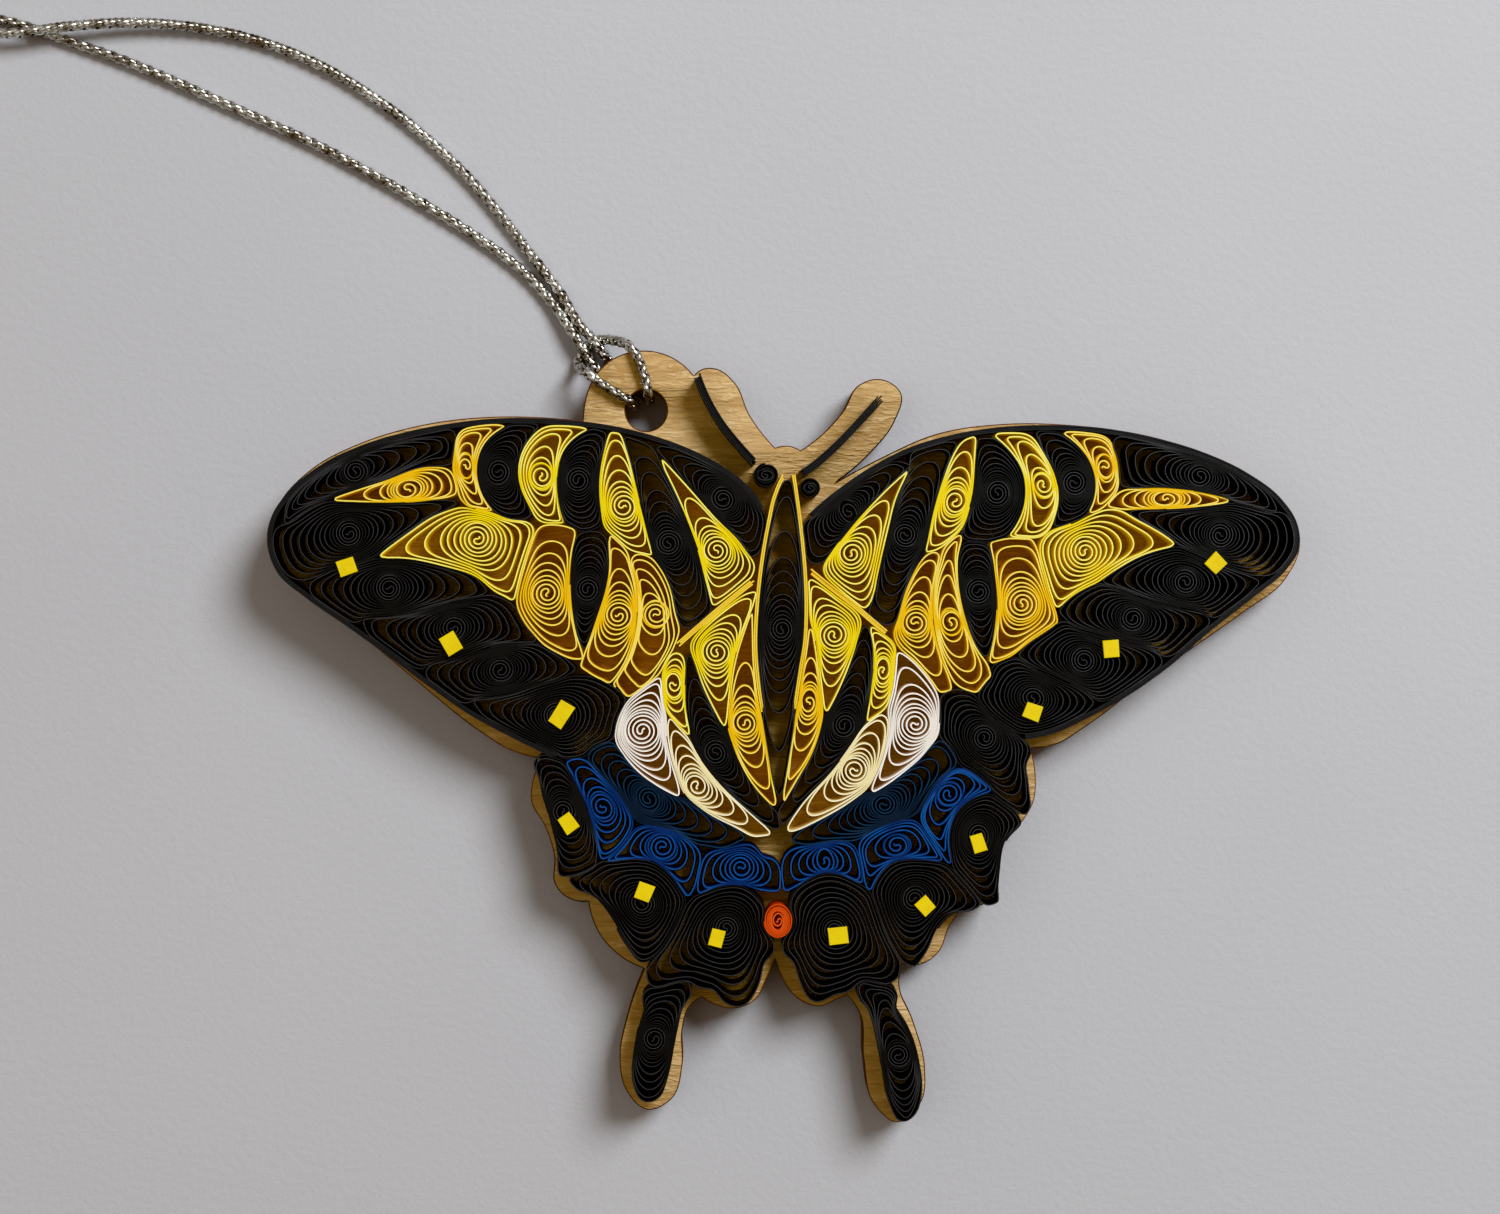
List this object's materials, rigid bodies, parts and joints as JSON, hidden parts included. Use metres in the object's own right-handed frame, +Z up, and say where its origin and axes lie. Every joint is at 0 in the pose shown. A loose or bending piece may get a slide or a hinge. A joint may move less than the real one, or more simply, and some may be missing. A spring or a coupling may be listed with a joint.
{
  "type": "quilled paper butterfly",
  "caption": "Flat hanging ornament of coiled paper strips glued on edge to a butterfly-shaped wooden board, with a looped cord hitched through a hole in its tab.",
  "frame": {"origin": "middle of the butterfly's outline, on the table that it lies on, with the tab lifted a millimetre by its own cord", "axes": "+X across the wings to the viewer's right, +Y towards the head, +Z up out of the front of the butterfly"},
  "size_m": [0.1402, 0.1124, 0.0079],
  "materials": {
    "birch_board": "matte",
    "black_paper": "satin",
    "yellow_paper": "matte",
    "white_paper": "matte",
    "cream_paper": "matte",
    "navy_paper": "matte",
    "blue_paper": "matte",
    "orange_paper": "matte",
    "silver_cord": "satin"
  },
  "bodies": {
    "root": {"backing_board": "birch_board", "body_coil": "black_paper", "cord_hitch": "silver_cord", "cord_knot": "silver_cord", "left_antenna": "black_paper", "left_blue_row": "blue_paper", "left_body_edge": "yellow_paper", "left_broad_crescent": "yellow_paper", "left_cream_petal": "cream_paper", "left_dark_leaf": "black_paper", "left_eye": "black_paper", "left_forewing_border": "black_paper", "left_forewing_fillers": "black_paper", "left_forewing_margin": "black_paper", "left_great_fan": "yellow_paper", "left_hindwing_edge": "yellow_paper", "left_hindwing_margin": "black_paper", "left_inner_blade": "yellow_paper", "left_inner_petal": "yellow_paper", "left_inner_teardrop": "yellow_paper", "left_navy_leaf": "navy_paper", "left_shoulder_teardrop": "yellow_paper", "left_slender_blade": "yellow_paper", "left_slim_crescent": "yellow_paper", "left_small_leaf": "yellow_paper", "left_tall_shield": "yellow_paper", "left_upper_leaf": "yellow_paper", "left_upright_leaf": "yellow_paper", "left_white_petal": "white_paper", "lower_cord_strand": "silver_cord", "orange_spot": "orange_paper", "right_antenna": "black_paper", "right_blue_row": "blue_paper", "right_body_edge": "yellow_paper", "right_broad_crescent": "yellow_paper", "right_cream_petal": "cream_paper", "right_dark_leaf": "black_paper", "right_eye": "black_paper", "right_forewing_border": "black_paper", "right_forewing_fillers": "black_paper", "right_forewing_margin": "black_paper", "right_great_fan": "yellow_paper", "right_hindwing_edge": "yellow_paper", "right_hindwing_margin": "black_paper", "right_inner_blade": "yellow_paper", "right_inner_petal": "yellow_paper", "right_inner_teardrop": "yellow_paper", "right_navy_leaf": "navy_paper", "right_shoulder_teardrop": "yellow_paper", "right_slender_blade": "yellow_paper", "right_slim_crescent": "yellow_paper", "right_small_leaf": "yellow_paper", "right_tall_shield": "yellow_paper", "right_upper_leaf": "yellow_paper", "right_upright_leaf": "yellow_paper", "right_white_petal": "white_paper", "upper_cord_strand": "silver_cord", "yellow_squares": "yellow_paper"}
  },
  "joints": []
}
